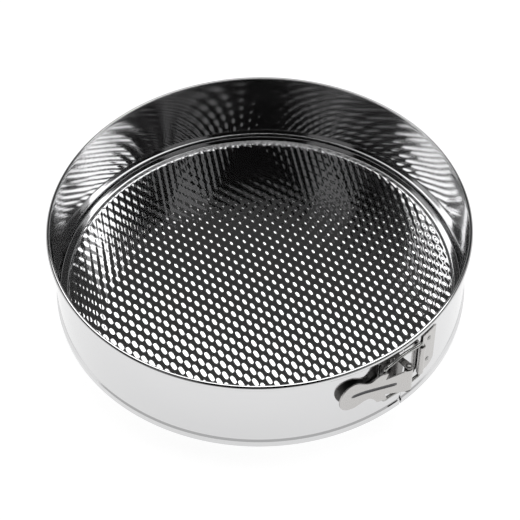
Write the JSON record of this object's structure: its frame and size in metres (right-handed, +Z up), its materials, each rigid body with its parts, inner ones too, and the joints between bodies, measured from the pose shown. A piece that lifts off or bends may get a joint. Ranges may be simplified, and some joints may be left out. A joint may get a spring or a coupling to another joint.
{
  "type": "springform cake pan",
  "caption": "Round springform cake pan: a split bright metal band, closed by an over-centre lever latch with a wire bail, round a loose embossed base.",
  "frame": {"origin": "on the pan's axis, on the surface that it stands on", "axes": "+Z up along the pan's axis; the latch is at -52 degrees about +Z from +X, as in the picture seen from -Y"},
  "size_m": [0.2844, 0.2844, 0.063],
  "materials": {
    "tinplate": "bright tinned steel sheet",
    "latch_steel": "plated pressed steel, duller than the band",
    "wire_steel": "plated steel wire"
  },
  "bodies": {
    "pan": {"band": "tinplate", "lever_bracket": "latch_steel", "pivot_pin": "wire_steel"},
    "lever": {"lever": "latch_steel"},
    "band_end": {"keeper_plate": "latch_steel", "keeper_rivet_upper": "wire_steel", "keeper_rivet_lower": "wire_steel"},
    "bail": {"bail_wire": "wire_steel"},
    "base": {"base_plate": "tinplate"}
  },
  "joints": [
    {"name": "lever_swing", "type": "hinge", "parent": "pan", "child": "lever", "pos_m": [0.09179, -0.11699, 0.038], "axis": [0, 0, 1], "range_deg": [0, 150]},
    {"name": "band_spring", "type": "hinge", "parent": "pan", "child": "band_end", "pos_m": [-0.08681, 0.11111, 0.0361], "axis": [0, 0, 1], "range_deg": [0, 2.65], "deforming": ["band"]},
    {"name": "bail_swing", "type": "hinge", "parent": "band_end", "child": "bail", "pos_m": [0.10143, -0.10095, 0.0361], "axis": [0, 0, 1], "range_deg": [0, 36]},
    {"name": "base_lift", "type": "slide", "parent": "pan", "child": "base", "axis": [0, 0, 1], "range_m": [0, 0.085]}
  ],
  "couplings": [
    {"joint": "band_spring", "follows": "lever_swing", "ratio": 0.01764},
    {"joint": "bail_swing", "follows": "lever_swing", "ratio": 0.2399}
  ]
}
